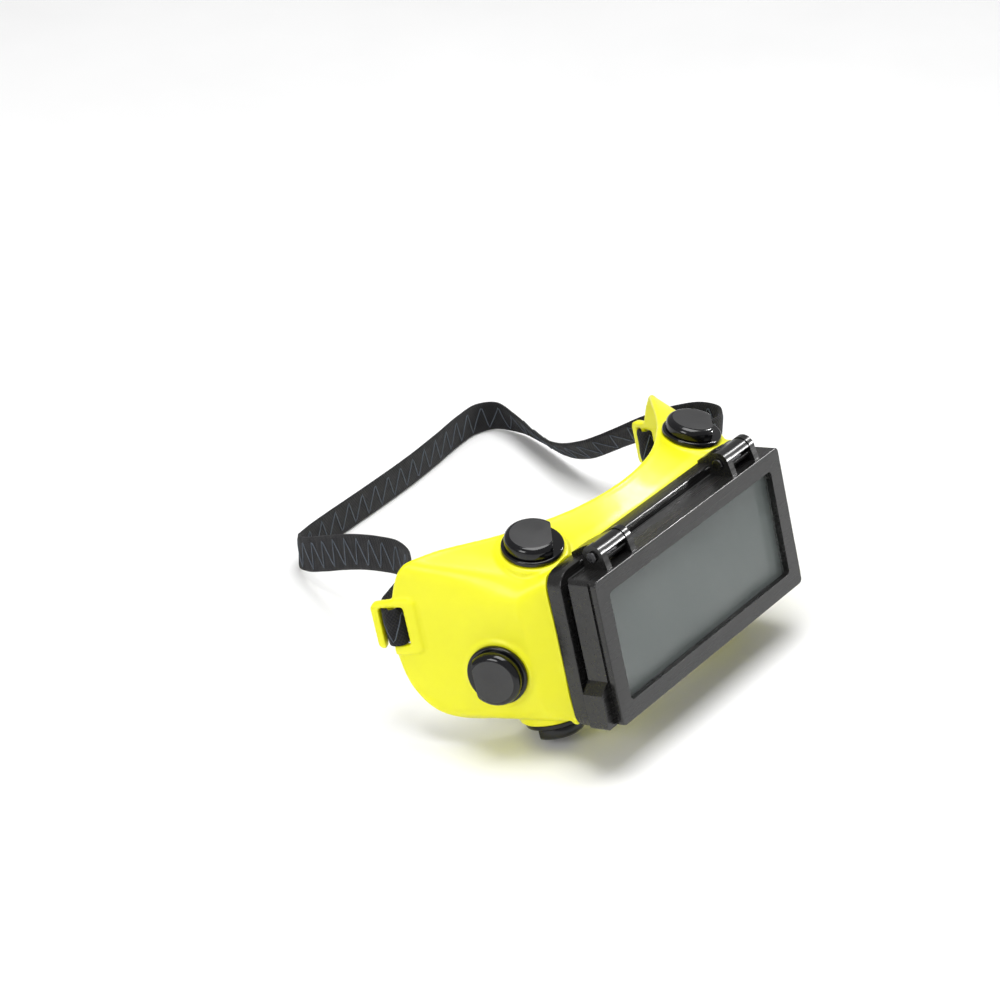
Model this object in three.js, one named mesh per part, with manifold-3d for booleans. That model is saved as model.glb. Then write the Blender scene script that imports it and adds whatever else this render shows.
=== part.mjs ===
// Flip-front welding goggles: a soft moulded eyecup with a rectangular lens frame, a hinged outer frame
// that carries the dark lens, six round indirect vents and an elastic headband.
//
// Every piece is modelled in the eyecup's own frame, in millimetres: X to the viewer's right, Y from the
// lens towards the face, Z up, with the origin in the middle of the seam between eyecup and lens frame.
// The whole assembly is then leaned back and stood on the ground the way it rests on a table.

import * as THREE from 'three';
import Module from 'manifold-3d';
import { mergeVertices } from 'three/addons/utils/BufferGeometryUtils.js';

const wasm = await Module();
wasm.setup();

// ---------------------------------------------------------------- driving dimensions, mm and degrees

const LEAN_BACK = 14.5;            // how far the goggles lean back at rest
const GAP = 0.3;                   // clearance between pieces that rest on each other

const LENS_WIDTH = 108;            // the standard 2 x 4 1/4 inch welding plate
const LENS_HEIGHT = 50;
const LENS_FIT = 0.4;              // play between a plate and its pocket
const SHADE_LENS_THICKNESS = 3;
const COVER_LENS_THICKNESS = 1.6;
const CLEAR_LENS_THICKNESS = 2.4;

const LENS_HIDDEN_SIDE = 2;        // how much of a plate the lens frames cover at each side
const LENS_HIDDEN_EDGE = 4.5;      // and at the top and bottom
const WINDOW_CORNER = 1.5;

const FLIP_WALL = 1.8;             // top and bottom wall of the flip frame
const FLIP_SIDE_WALL = 4.6;
const FLIP_DEPTH = 11.6;
const FLIP_LIP = 2.4;              // front bezel thickness in front of the plates
const FLIP_CORNER = 1.6;
const BEZEL_GROOVE_WIDTH = 1.1;
const BEZEL_GROOVE_DEPTH = 0.7;

const BASE_MARGIN_SIDE = 2;        // the fixed lens frame stands this far past the flip frame
const BASE_MARGIN_EDGE = 2.6;
const BASE_DEPTH = 6.4;
const BASE_CORNER = 5.5;
const BASE_LIP = 2.2;

const SEAL_THICKNESS = 1.0;
const SEAL_WIDTH = 3.2;

const CLAMP_THICKNESS = 2.2;
const CLAMP_BORDER = 3.8;
const PEG_RADIUS = 1.5;

const CUP_WALL = 2.0;
const CUP_LIP = 2.2;               // thickness of the eyecup's front plate

const HINGE_SPREAD_SHARE = 0.3373; // hinges either side of the middle, as a share of the flip frame's width
const HINGE_HEIGHT = 4.6;          // pin axis above the flip frame's top face
const KNUCKLE_WALL = 2.4;
const KNUCKLE_LENGTH = 11.4;
const EAR_THICKNESS = 2.8;
const EAR_GAP = 0.35;
const PIN_RADIUS = 1.5;
const PIN_CLEARANCE = 0.08;

const TAB_HEIGHT = 13.5;           // finger tabs on the lower sides of the flip frame
const TAB_PROUD = 4.4;

const VENT_FLANGE_RADIUS = 11;
const VENT_FLANGE_THICKNESS = 1.8;
const VENT_STEM_RADIUS = 6.6;
const VENT_BARB_PROUD = 1;
const VENT_RIM = 1.1;              // the flange stands this far past the cap
const VENT_CAP_HEIGHT = 4.2;
const VENT_CAP_CUT_SHARE = 2 / 3;  // distance from the cap's axis to its flat cut, as a share of its radius
const VENT_BOSS_PROUD = 0.9;

const LUG_BAR_WIDTH = 2.9;
const LUG_THICKNESS = 3.4;
const STRAP_PLAY = 0.3;            // play above and below the strap in a lug
const LUG_FRONT_SLOT = 4.0;        // the strap threads through two slots either side of a thin bar
const LUG_MIDDLE_BAR = 2.4;
const LUG_BACK_SLOT = 3.0;
const LUG_MIDDLE_BAR_RECESS = 1.2;
const LUG_MIDDLE = 14.2;           // height of the window's middle above the lens centre

const STRAP_WIDTH = 14;
const STRAP_THICKNESS = 1.5;

// ---------------------------------------------------------------- derived places

const windowWidth = LENS_WIDTH - 2 * LENS_HIDDEN_SIDE;
const windowHeight = LENS_HEIGHT - 2 * LENS_HIDDEN_EDGE;
const pocketWidth = LENS_WIDTH + 2 * LENS_FIT;
const pocketHeight = LENS_HEIGHT + 2 * LENS_FIT;
const flipWidth = pocketWidth + 2 * FLIP_SIDE_WALL;
const flipHeight = pocketHeight + 2 * FLIP_WALL;
const baseWidth = flipWidth + 2 * BASE_MARGIN_SIDE;
const baseHeight = flipHeight + 2 * BASE_MARGIN_EDGE;
const hingeSpread = HINGE_SPREAD_SHARE * flipWidth;
const knuckleRadius = PIN_RADIUS + KNUCKLE_WALL;
const earRadius = knuckleRadius + 0.3;
const ventBarbRadius = VENT_STEM_RADIUS + VENT_BARB_PROUD;
const ventCapRadius = VENT_FLANGE_RADIUS - VENT_RIM;
const ventCapCut = VENT_CAP_CUT_SHARE * ventCapRadius;
const lugWindowHeight = STRAP_WIDTH + 2 * STRAP_PLAY;
const sealFront = -BASE_DEPTH - GAP - SEAL_THICKNESS;
const flipBack = sealFront - GAP;
const flipFront = flipBack - FLIP_DEPTH;
const pinHeight = flipHeight / 2 + HINGE_HEIGHT;
const pinDepth = flipBack - 4.9;

// ---------------------------------------------------------------- materials

const plastic = (color, roughness) => new THREE.MeshStandardMaterial({ color, roughness, metalness: 0 });
const yellowVinyl = plastic(0xf2ef1a, 0.28);
const blackFrame = plastic(0x3b3c3c, 0.38);
const blackGloss = plastic(0x0d0e10, 0.22);
const rubber = plastic(0x141414, 0.8);
const webbing = plastic(0x17181a, 0.9);
const steel = new THREE.MeshStandardMaterial({ color: 0x5a5a5c, roughness: 0.3, metalness: 1 });
const shadeGlass = plastic(0x5d6663, 0.08);
const clearGlass = plastic(0xc9d4d2, 0.05);

// ---------------------------------------------------------------- solids

function toSolid(geometry) {
  const bare = geometry.index ? geometry.toNonIndexed() : geometry.clone();
  for (const name of Object.keys(bare.attributes)) {
    if (name !== 'position') bare.deleteAttribute(name);
  }
  const merged = mergeVertices(bare, 1e-4);
  const mesh = new wasm.Mesh({
    numProp: 3,
    vertProperties: new Float32Array(merged.attributes.position.array),
    triVerts: new Uint32Array(merged.index.array),
  });
  return new wasm.Manifold(mesh);
}

function toGeometry(solid) {
  const mesh = solid.getMesh();
  const geometry = new THREE.BufferGeometry();
  geometry.setAttribute('position', new THREE.BufferAttribute(new Float32Array(mesh.vertProperties), 3));
  geometry.setIndex(new THREE.BufferAttribute(new Uint32Array(mesh.triVerts), 1));
  geometry.computeVertexNormals();
  return geometry;
}

function place(geometry, x, y, z) {
  geometry.translate(x, y, z);
  return toSolid(geometry);
}

function box(x0, x1, y0, y1, z0, z1) {
  const geometry = new THREE.BoxGeometry(x1 - x0, y1 - y0, z1 - z0);
  return place(geometry, (x0 + x1) / 2, (y0 + y1) / 2, (z0 + z1) / 2);
}

// A rectangle with round corners in the XZ plane.
function roundedRectangle(width, height, radius) {
  const shape = new THREE.Shape();
  const x = width / 2 - radius;
  const z = height / 2 - radius;
  shape.absarc(x, z, radius, 0, Math.PI / 2);
  shape.absarc(-x, z, radius, Math.PI / 2, Math.PI);
  shape.absarc(-x, -z, radius, Math.PI, 1.5 * Math.PI);
  shape.absarc(x, -z, radius, 1.5 * Math.PI, 2 * Math.PI);
  shape.closePath();
  return shape;
}

// A slab of that rectangle between two depths along Y.
function slab(width, height, radius, front, back, bevel = 0) {
  const outline = roundedRectangle(width - 2 * bevel, height - 2 * bevel, radius);
  const geometry = new THREE.ExtrudeGeometry(outline, {
    depth: back - front - 2 * bevel,
    curveSegments: 3,
    bevelEnabled: bevel > 0,
    bevelThickness: bevel,
    bevelSize: bevel,
    bevelSegments: 2,
  });
  geometry.rotateX(Math.PI / 2);
  geometry.scale(1, 1, -1);
  geometry.translate(0, back - bevel, 0);
  return toSolid(flipFaces(geometry));
}

// Mirroring turns the faces inside out, so this turns them back.
function flipFaces(geometry) {
  const bare = geometry.index ? geometry.toNonIndexed() : geometry;
  const position = bare.attributes.position;
  for (let i = 0; i < position.count; i += 3) {
    const x = position.getX(i);
    const y = position.getY(i);
    const z = position.getZ(i);
    position.setXYZ(i, position.getX(i + 1), position.getY(i + 1), position.getZ(i + 1));
    position.setXYZ(i + 1, x, y, z);
  }
  return bare;
}

// A cylinder with its axis along X.
function rodAlongX(radius, x0, x1, y, z, sides = 20) {
  const geometry = new THREE.CylinderGeometry(radius, radius, x1 - x0, sides);
  geometry.rotateZ(Math.PI / 2);
  return place(geometry, (x0 + x1) / 2, y, z);
}

// ---------------------------------------------------------------- eyecup surface

// Half outlines of the eyecup, from the top middle over the side to the bottom middle, as [x, y, z].
// They hold the same number of points, and the wall runs from one to the next. They are drawn for a fixed
// lens frame of this width and height, and stretch with it.
const DRAWN_WIDTH = 122;
const DRAWN_HEIGHT = 59.6;
const stretched = ([x, y, z]) => [x * baseWidth / DRAWN_WIDTH, y, z * baseHeight / DRAWN_HEIGHT];
const seamOutline = [
  [0, 0, 29], [25, 0, 29], [44, 0, 29], [53, 0, 29], [58.4, 0, 28.4], [60.4, 0, 26], [60.4, 0, 9],
  [60.4, 0, -8], [60.4, 0, -21], [58, 0, -27.6], [46, 0, -29], [28, 0, -29], [13, 0, -29], [0, 0, -29],
].map(stretched);
const creaseOutline = [
  [0, 2, 31], [25, 2.8, 31.1], [46, 4.6, 31.1], [56, 6.2, 30], [62.6, 7.6, 27], [66.8, 8.7, 22], [67, 8.7, 8],
  [67, 8.6, -7], [66.8, 8.2, -18], [62, 7, -26.4], [48, 5, -30], [29, 3, -30.6], [13.5, 2.4, -30],
  [0, 1.7, -28.4],
].map(stretched);
const faceOutline = [
  [0, 8.2, 37], [26, 12.4, 37.2], [50, 25, 37.7], [70.5, 41.2, 38.2], [78, 47.4, 36], [80.1, 53.2, 25],
  [80.9, 55.5, 12], [80.9, 55.6, 1], [80, 52.6, -10.5], [76.8, 44, -20.5], [60, 32, -29], [40, 20.5, -32],
  [20, 10.5, -30.6], [0, 5.8, -27.4],
].map(stretched);

const OUTLINE_STEPS = 28;          // steps along half an outline
const BEVEL_ROWS = 2;              // rows of facets from the seam to the crease
const PANEL_ROWS = 5;              // and from the crease to the face edge

function sampleOutline(outline) {
  const mirrored = outline.slice(1, -1).reverse().map(([x, y, z]) => [-x, y, z]);
  const points = [...outline, ...mirrored].map(([x, y, z]) => new THREE.Vector3(x, y, z));
  const curve = new THREE.CatmullRomCurve3(points, true, 'centripetal');
  const count = 2 * OUTLINE_STEPS;
  return Array.from({ length: count }, (_, i) => curve.getPoint(i / count));
}

function cupRows() {
  const seam = sampleOutline(seamOutline);
  const crease = sampleOutline(creaseOutline);
  const face = sampleOutline(faceOutline);
  const between = (a, b, t) => a.map((point, i) => point.clone().lerp(b[i], t));
  const front = seam.map((point) => point.clone().setY(-CUP_WALL));
  const rows = [front];
  for (let i = 0; i < BEVEL_ROWS; i += 1) rows.push(between(seam, crease, i / BEVEL_ROWS));
  for (let i = 0; i <= PANEL_ROWS; i += 1) rows.push(between(crease, face, i / PANEL_ROWS));
  return rows;
}

// The outward normal of the surface at one grid point.
function gridNormal(rows, i, j) {
  const count = rows[i].length;
  const along = rows[i][(j + 1) % count].clone().sub(rows[i][(j + count - 1) % count]);
  const across = rows[Math.min(i + 1, rows.length - 1)][j].clone().sub(rows[Math.max(i - 1, 0)][j]);
  return along.cross(across).normalize();
}

// A wall of even thickness under the surface: outer skin, inner skin and the two rims.
function thickWall(rows, thickness) {
  const count = rows[0].length;
  const inward = (p, i, j) => p.clone().addScaledVector(gridNormal(rows, i, j), -thickness);
  const inner = rows.map((row, i) => row.map((p, j) => inward(p, i, j)));
  const positions = [];
  const quad = (a, b, c, d) => {
    for (const p of [a, b, c, a, c, d]) positions.push(p.x, p.y, p.z);
  };
  for (let j = 0; j < count; j += 1) {
    const k = (j + 1) % count;
    for (let i = 0; i + 1 < rows.length; i += 1) {
      quad(rows[i][j], rows[i][k], rows[i + 1][k], rows[i + 1][j]);
      quad(inner[i][j], inner[i + 1][j], inner[i + 1][k], inner[i][k]);
    }
    const last = rows.length - 1;
    quad(rows[last][j], rows[last][k], inner[last][k], inner[last][j]);
    quad(rows[0][j], inner[0][j], inner[0][k], rows[0][k]);
  }
  const geometry = new THREE.BufferGeometry();
  geometry.setAttribute('position', new THREE.Float32BufferAttribute(positions, 3));
  return toSolid(geometry);
}

// The point and outward normal where the wall is crossed on the way out from a point inside the eyecup.
function surfaceAt(rows, from, towards) {
  const ray = new THREE.Ray(from, towards.clone().normalize());
  const hit = new THREE.Vector3();
  const count = rows[0].length;
  for (let i = 1; i + 1 < rows.length; i += 1) {
    for (let j = 0; j < count; j += 1) {
      const k = (j + 1) % count;
      const corners = [rows[i][j], rows[i + 1][j], rows[i + 1][k], rows[i][k]];
      const found = ray.intersectTriangle(corners[0], corners[1], corners[2], false, hit)
        || ray.intersectTriangle(corners[0], corners[2], corners[3], false, hit);
      if (found) return { point: hit.clone(), normal: gridNormal(rows, i, j) };
    }
  }
  return null;
}

// ---------------------------------------------------------------- vents

// Each vent: where its axis leaves the eyecup, and which way the cap's flat cut faces.
const ventPlaces = [
  { name: 'top_left', from: [-50, 11.5, 0], towards: [0, 0, 1], cutTowards: [0.6, -0.8, 0] },
  { name: 'top_right', from: [50, 11.5, 0], towards: [0, 0, 1], cutTowards: [0.6, -0.8, 0] },
  { name: 'bottom_left', from: [-50, 17.5, 0], towards: [0, 0, -1], cutTowards: [-0.6, 0.8, 0] },
  { name: 'bottom_right', from: [50, 17.5, 0], towards: [0, 0, -1], cutTowards: [0.6, 0.8, 0] },
  { name: 'side_left', from: [0, 20.5, -5], towards: [-1, 0, 0], cutTowards: [0, 1, 0] },
  { name: 'side_right', from: [0, 20.5, -5], towards: [1, 0, 0], cutTowards: [0, 1, 0] },
];

// The turn that takes the local axes (cut direction, side, outward) to a vent's place on the eyecup.
function ventFrame(rows, { from, towards, cutTowards }) {
  const start = new THREE.Vector3(...stretched(from));
  const { point, normal } = surfaceAt(rows, start, new THREE.Vector3(...towards));
  const cut = new THREE.Vector3(...cutTowards);
  cut.addScaledVector(normal, -cut.dot(normal)).normalize();
  const side = normal.clone().cross(cut);
  return new THREE.Matrix4().makeBasis(cut, side, normal).setPosition(point);
}

function lathe(profile, segments = 24) {
  const geometry = new THREE.LatheGeometry(profile.map(([r, h]) => new THREE.Vector2(r, h)), segments);
  geometry.rotateX(Math.PI / 2);
  return toSolid(geometry);
}

const seatHeight = VENT_BOSS_PROUD;
const flangeTop = seatHeight + GAP + VENT_FLANGE_THICKNESS;
const stemBottom = -CUP_WALL - 3.4;

function ventBoss() {
  const radius = VENT_FLANGE_RADIUS + 1;
  const inside = -CUP_WALL - 0.6;
  return lathe([[0, inside], [radius, inside], [radius, seatHeight], [0, seatHeight]]);
}

// The hole for the stem, with room for the barb inside and a spot face for the flange outside.
function ventHole() {
  const stem = VENT_STEM_RADIUS + GAP;
  const barb = ventBarbRadius + GAP;
  const flange = VENT_FLANGE_RADIUS + GAP;
  const inside = -CUP_WALL - 0.6;
  return lathe([
    [0, -9], [barb, -9], [barb, inside], [stem, inside], [stem, seatHeight], [flange, seatHeight],
    [flange, 9], [0, 9],
  ]);
}

function ventBase() {
  const bore = VENT_STEM_RADIUS - 1.6;
  const barbTop = -CUP_WALL - 0.6 - GAP;
  return lathe([
    [bore, stemBottom], [VENT_STEM_RADIUS, stemBottom], [ventBarbRadius, barbTop - 0.8],
    [ventBarbRadius, barbTop],
    [VENT_STEM_RADIUS, barbTop], [VENT_STEM_RADIUS, seatHeight + GAP], [VENT_FLANGE_RADIUS, seatHeight + GAP],
    [VENT_FLANGE_RADIUS, flangeTop - 0.5], [VENT_FLANGE_RADIUS - 0.6, flangeTop], [bore, flangeTop],
    [bore, stemBottom],
  ]);
}

// The cap is a low domed drum with one side cut flat and an air slot under the cut.
function ventCap() {
  const foot = flangeTop + GAP;
  const top = foot + VENT_CAP_HEIGHT;
  const drum = lathe([
    [0, foot], [ventCapRadius, foot], [ventCapRadius, top - 1.8], [ventCapRadius - 0.5, top - 0.8],
    [ventCapRadius - 1.6, top], [0, top],
  ], 28);
  const cut = box(ventCapCut, 20, -20, 20, foot - 1, top + 1);
  const inside = ventCapRadius - 2.2;
  const hollow = lathe([[0, foot - 1], [inside, foot - 1], [inside, top - 2.2], [0, top - 2.2]]);
  const hollowCut = box(ventCapCut - 1.8, 20, -20, 20, foot - 2, top + 1);
  const slot = box(ventCapCut - 3, ventCapCut + 1, -5, 5, foot - 1, foot + 1.8);
  return drum.subtract(cut).subtract(hollow.subtract(hollowCut)).subtract(slot);
}

// ---------------------------------------------------------------- strap lugs

// Local axes of a lug: along the side panel towards the back, up, and outwards.
function lugFrame(side) {
  const crease = new THREE.Vector3(...creaseOutline[6]);
  const edge = new THREE.Vector3(...faceOutline[6]);
  const along = new THREE.Vector3(edge.x - crease.x, edge.y - crease.y, 0).normalize();
  along.x *= side;
  const up = new THREE.Vector3(0, 0, 1);
  const out = new THREE.Vector3(along.y * side, -along.x * side, 0);
  const origin = new THREE.Vector3(side * edge.x, edge.y, LUG_MIDDLE);
  return { along, up, out, origin };
}

// Places along the panel: the front slot is cut into the panel, and the back slot is open at the bottom.
const frontSlotStart = -6.0;
const middleBarStart = frontSlotStart + LUG_FRONT_SLOT;
const middleBarEnd = middleBarStart + LUG_MIDDLE_BAR;
const backBarStart = middleBarEnd + LUG_BACK_SLOT;
const backBarEnd = backBarStart + LUG_BAR_WIDTH;
const lugInside = -CUP_WALL - 0.2;
const lugOutside = lugInside + LUG_THICKNESS;

// A prism on a lug: its outline is given along the panel and up, and its ends inwards and outwards.
function lugPrism(side, outline, inside, outside) {
  const { along, up, out, origin } = lugFrame(side);
  const shape = new THREE.Shape(outline.map(([u, v]) => new THREE.Vector2(u, v)));
  const geometry = new THREE.ExtrudeGeometry(shape, { depth: outside - inside, bevelEnabled: false });
  geometry.translate(0, 0, inside);
  geometry.applyMatrix4(new THREE.Matrix4().makeBasis(along, up, out).setPosition(origin));
  return toSolid(side < 0 ? flipFaces(geometry) : geometry);
}

function lugHook(side) {
  const half = lugWindowHeight / 2;
  const padStart = frontSlotStart - 4.5;
  const foot = -half - 0.8;
  return lugPrism(side, [
    [padStart, -half - 2], [padStart + 2, -half - 3.4], [middleBarEnd, -half - 3.4],
    [middleBarEnd, -half + 0.6],
    [backBarStart, -half + 0.6], [backBarStart, foot], [backBarEnd - 1, foot], [backBarEnd, foot + 1.4],
    [backBarEnd, half + 0.6], [backBarEnd - 1.4, half + 2], [middleBarStart, half + 2.6],
    [padStart + 2, half + 2.6], [padStart, half + 1.2],
  ], lugInside, lugOutside);
}

function lugWindow(side) {
  const half = lugWindowHeight / 2;
  const rectangle = (u0, u1, v0, v1) => [[u0, v0], [u1, v0], [u1, v1], [u0, v1]];
  const frontSlot = lugPrism(side, rectangle(frontSlotStart, middleBarStart, -half, half), -9, 9);
  const backSlot = lugPrism(side, rectangle(middleBarEnd, backBarStart, -half - 9, half), -9, 9);
  const recess = rectangle(middleBarStart - 1, middleBarEnd + 1, -half, half);
  const outer = lugPrism(side, recess, lugOutside - LUG_MIDDLE_BAR_RECESS, 9);
  return frontSlot.add(backSlot).add(outer);
}

// ---------------------------------------------------------------- eyecup

function eyecup(rows, vents) {
  const wall = thickWall(rows, CUP_WALL);
  const frontPlate = slab(baseWidth - 2.4, baseHeight - 2.4, BASE_CORNER - 1, 0, CUP_LIP)
    .subtract(slab(windowWidth, windowHeight, WINDOW_CORNER, -1, CUP_LIP + 1));
  let body = wall.add(frontPlate);
  for (const frame of vents) body = body.add(ventBoss().transform(frame.elements));
  for (const side of [-1, 1]) body = body.add(lugHook(side));
  for (const frame of vents) body = body.subtract(ventHole().transform(frame.elements));
  for (const side of [-1, 1]) body = body.subtract(lugWindow(side));
  for (const peg of pegPlaces()) body = body.subtract(pegRod(peg, PEG_RADIUS + GAP, -1, CUP_LIP + 1));
  return body.subtract(box(-90, 90, -20, 0, -60, 60));
}

// ---------------------------------------------------------------- lens frames

function pegPlaces() {
  const x = windowWidth / 2 - 12;
  const z = (windowHeight + baseHeight) / 4 - 0.6;
  return [[-x, z], [x, z], [-x, -z], [x, -z]];
}

function pegRod([x, z], radius, front, back) {
  const geometry = new THREE.CylinderGeometry(radius, radius, back - front, 16);
  return place(geometry, x, (front + back) / 2, z);
}

function baseFrame() {
  let frame = slab(baseWidth, baseHeight, BASE_CORNER, -BASE_DEPTH, -GAP, 0.6);
  frame = frame.subtract(slab(windowWidth, windowHeight, WINDOW_CORNER, -BASE_DEPTH - 1, 1));
  frame = frame.subtract(slab(pocketWidth, pocketHeight, WINDOW_CORNER, -BASE_DEPTH - 1, -GAP - BASE_LIP));
  for (const peg of pegPlaces()) {
    frame = frame.subtract(pegRod(peg, PEG_RADIUS + GAP, -GAP - BASE_LIP + 0.4, 1));
  }
  for (const side of [-1, 1]) frame = frame.add(hingeArm(side));
  for (const side of [-1, 1]) frame = frame.subtract(knuckleBore(side));
  return frame;
}

// A bracket on the fixed frame reaches over the flip frame and ends in a round knuckle.
function hingeArm(side) {
  const x = side * hingeSpread;
  const half = KNUCKLE_LENGTH / 2;
  const knuckle = rodAlongX(knuckleRadius, x - half, x + half, pinDepth, pinHeight);
  const underside = baseHeight / 2 - 1.2;
  const shape = new THREE.Shape();
  shape.moveTo(-0.8, underside);
  shape.lineTo(-BASE_DEPTH, underside);
  shape.lineTo(pinDepth + 2.4, pinHeight - 2.6);
  shape.lineTo(pinDepth, pinHeight);
  shape.lineTo(pinDepth + 1.2, pinHeight + knuckleRadius - 0.3);
  shape.lineTo(-BASE_DEPTH + 0.6, pinHeight + 1.4);
  shape.lineTo(-0.8, baseHeight / 2 + 0.9);
  shape.closePath();
  const arm = new THREE.ExtrudeGeometry(shape, { depth: KNUCKLE_LENGTH - 1.6, bevelEnabled: false });
  arm.applyMatrix4(new THREE.Matrix4().set(0, 0, 1, x - half + 0.8, 1, 0, 0, 0, 0, 1, 0, 0, 0, 0, 0, 1));
  return knuckle.add(toSolid(arm));
}

// The pin's hole, with the narrow mouth in front that the pin was pressed in through.
function knuckleBore(side) {
  const x = side * hingeSpread;
  const half = KNUCKLE_LENGTH / 2 + 1;
  const bore = rodAlongX(PIN_RADIUS + PIN_CLEARANCE, x - half, x + half, pinDepth, pinHeight);
  const gape = PIN_RADIUS / 2;
  const front = pinDepth - knuckleRadius - 1;
  const mouth = box(x - half, x + half, front, pinDepth, pinHeight - gape, pinHeight + gape);
  return bore.add(mouth);
}

function hingePin(side) {
  const x = side * hingeSpread;
  const reach = KNUCKLE_LENGTH / 2 + EAR_GAP + EAR_THICKNESS + 0.4;
  const pin = rodAlongX(PIN_RADIUS, x - reach, x + reach, pinDepth, pinHeight);
  return pin.add(rodAlongX(PIN_RADIUS + 0.5, x - reach - 0.7, x - reach + 0.1, pinDepth, pinHeight));
}

// One of the two ears that stand on the flip frame either side of a knuckle.
function hingeEar(side, hand) {
  const inner = side * hingeSpread + hand * (KNUCKLE_LENGTH / 2 + EAR_GAP);
  const outer = inner + hand * EAR_THICKNESS;
  const foot = flipHeight / 2 - 0.6;
  const shape = new THREE.Shape();
  shape.moveTo(pinDepth + 4.6, foot);
  shape.lineTo(pinDepth + earRadius, pinHeight);
  shape.absarc(pinDepth, pinHeight, earRadius, 0, Math.PI, false);
  shape.lineTo(pinDepth - 5.4, foot);
  shape.closePath();
  const options = { depth: EAR_THICKNESS, bevelEnabled: false, curveSegments: 8 };
  const ear = new THREE.ExtrudeGeometry(shape, options);
  const x = Math.min(inner, outer);
  ear.applyMatrix4(new THREE.Matrix4().set(0, 0, 1, x, 1, 0, 0, 0, 0, 1, 0, 0, 0, 0, 0, 1));
  const hole = rodAlongX(PIN_RADIUS + PIN_CLEARANCE, x - 1, x + EAR_THICKNESS + 1, pinDepth, pinHeight);
  return toSolid(ear).subtract(hole);
}

// A wedge that stands proud of the flip frame's side, for a finger to lift it by.
function fingerTab(side) {
  const shape = new THREE.Shape();
  const foot = -flipHeight / 2;
  const root = flipWidth / 2 - 1;
  shape.moveTo(root, foot + 0.4);
  shape.lineTo(flipWidth / 2 + TAB_PROUD - 0.6, foot + 0.4);
  shape.lineTo(flipWidth / 2 + TAB_PROUD, foot + 1.4);
  shape.lineTo(flipWidth / 2 + TAB_PROUD, foot + TAB_HEIGHT);
  shape.lineTo(flipWidth / 2, foot + TAB_HEIGHT + 3.4);
  shape.lineTo(root, foot + TAB_HEIGHT + 3.4);
  shape.closePath();
  const depth = FLIP_DEPTH - FLIP_LIP - 1.2;
  const geometry = new THREE.ExtrudeGeometry(shape, { depth, bevelEnabled: false });
  geometry.rotateX(Math.PI / 2);
  geometry.translate(0, flipBack - 0.3, 0);
  const tab = toSolid(geometry);
  return side > 0 ? tab : tab.mirror([1, 0, 0]);
}

function flipFrame() {
  let frame = slab(flipWidth, flipHeight, FLIP_CORNER, flipFront, flipBack, 0.4);
  const grooveFront = flipFront + FLIP_LIP - 0.4;
  const grooveBack = grooveFront + BEZEL_GROOVE_WIDTH;
  const grooved = flipWidth - 2 * BEZEL_GROOVE_DEPTH;
  const groove = slab(flipWidth + 2, flipHeight + 2, FLIP_CORNER, grooveFront, grooveBack)
    .subtract(slab(grooved, flipHeight + 4, FLIP_CORNER, flipFront - 1, flipBack + 1));
  frame = frame.subtract(groove);
  frame = frame.subtract(slab(windowWidth, windowHeight, WINDOW_CORNER, flipFront - 1, flipBack + 1));
  frame = frame.subtract(slab(pocketWidth, pocketHeight, WINDOW_CORNER, flipFront + FLIP_LIP, flipBack + 1));
  for (const side of [-1, 1]) {
    frame = frame.add(fingerTab(side));
    for (const hand of [-1, 1]) frame = frame.add(hingeEar(side, hand));
  }
  return frame;
}

// ---------------------------------------------------------------- plates, seal, retainer, clamp

function plate(thickness, front) {
  return slab(LENS_WIDTH, LENS_HEIGHT, 0.8, front, front + thickness);
}

function openRing(width, height, border, front, back) {
  return slab(width, height, 1, front, back)
    .subtract(slab(width - 2 * border, height - 2 * border, 1, front - 1, back + 1));
}

const coverFront = flipFront + FLIP_LIP + GAP;
const shadeFront = coverFront + COVER_LENS_THICKNESS + GAP;
const retainerFront = shadeFront + SHADE_LENS_THICKNESS + GAP;
const clearFront = -GAP - BASE_LIP - GAP - CLEAR_LENS_THICKNESS;

function clampRing() {
  const width = windowWidth + 2 * CLAMP_BORDER;
  const height = windowHeight + 2 * CLAMP_BORDER;
  const front = CUP_LIP + GAP;
  let ring = slab(width, height, 3, front, front + CLAMP_THICKNESS)
    .subtract(slab(windowWidth, windowHeight, WINDOW_CORNER, front - 1, front + CLAMP_THICKNESS + 1));
  for (const peg of pegPlaces()) ring = ring.add(pegRod(peg, PEG_RADIUS, -GAP - BASE_LIP + 0.8, front + 0.4));
  return ring;
}

// ---------------------------------------------------------------- headband

// The elastic band's centre line behind the goggles, in the frame of the standing goggles. It leaves the
// left lug on the inside, comes down onto the ground on its edge, and bows outwards past the right lug.
const strapRoute = [
  [-74.8, 45.5, 42.0], [-71.0, 46.2, 42.6], [-62.0, 48.2, 43.0], [-52.5, 51.6, 42.7], [-44.5, 57.8, 42.0],
  [-39.2, 66.6, 40.4], [-35.8, 77.5, 36.7], [-31.6, 91.0, 30.8], [-27.6, 104.0, 24.1], [-23.4, 116.5, 17.0],
  [-19.6, 126.6, 11.5], [-15.2, 133.4, 8.6], [-7.5, 135.9, 7.6], [5.0, 136.8, 7.4], [22.0, 137.2, 7.4],
  [42.0, 137.8, 7.4], [62.0, 138.8, 7.4], [82.0, 140.8, 7.4], [100.0, 143.0, 7.4], [112.0, 143.0, 7.4],
  [119.5, 138.0, 7.4], [119.5, 127.0, 7.4], [114.5, 113.0, 7.7], [109.0, 100.0, 9.0], [104.5, 88.0, 13.4],
  [102.0, 77.0, 19.8], [103.4, 65.0, 27.6], [106.2, 53.5, 35.0], [109.4, 42.5, 40.4], [111.0, 32.0, 43.8],
  [108.6, 23.2, 45.4], [102.2, 19.0, 45.8], [95.4, 20.2, 45.9], [89.4, 24.0, 45.9], [84.7, 26.8, 46.0],
];
const STRAP_STEPS = 76;

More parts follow.
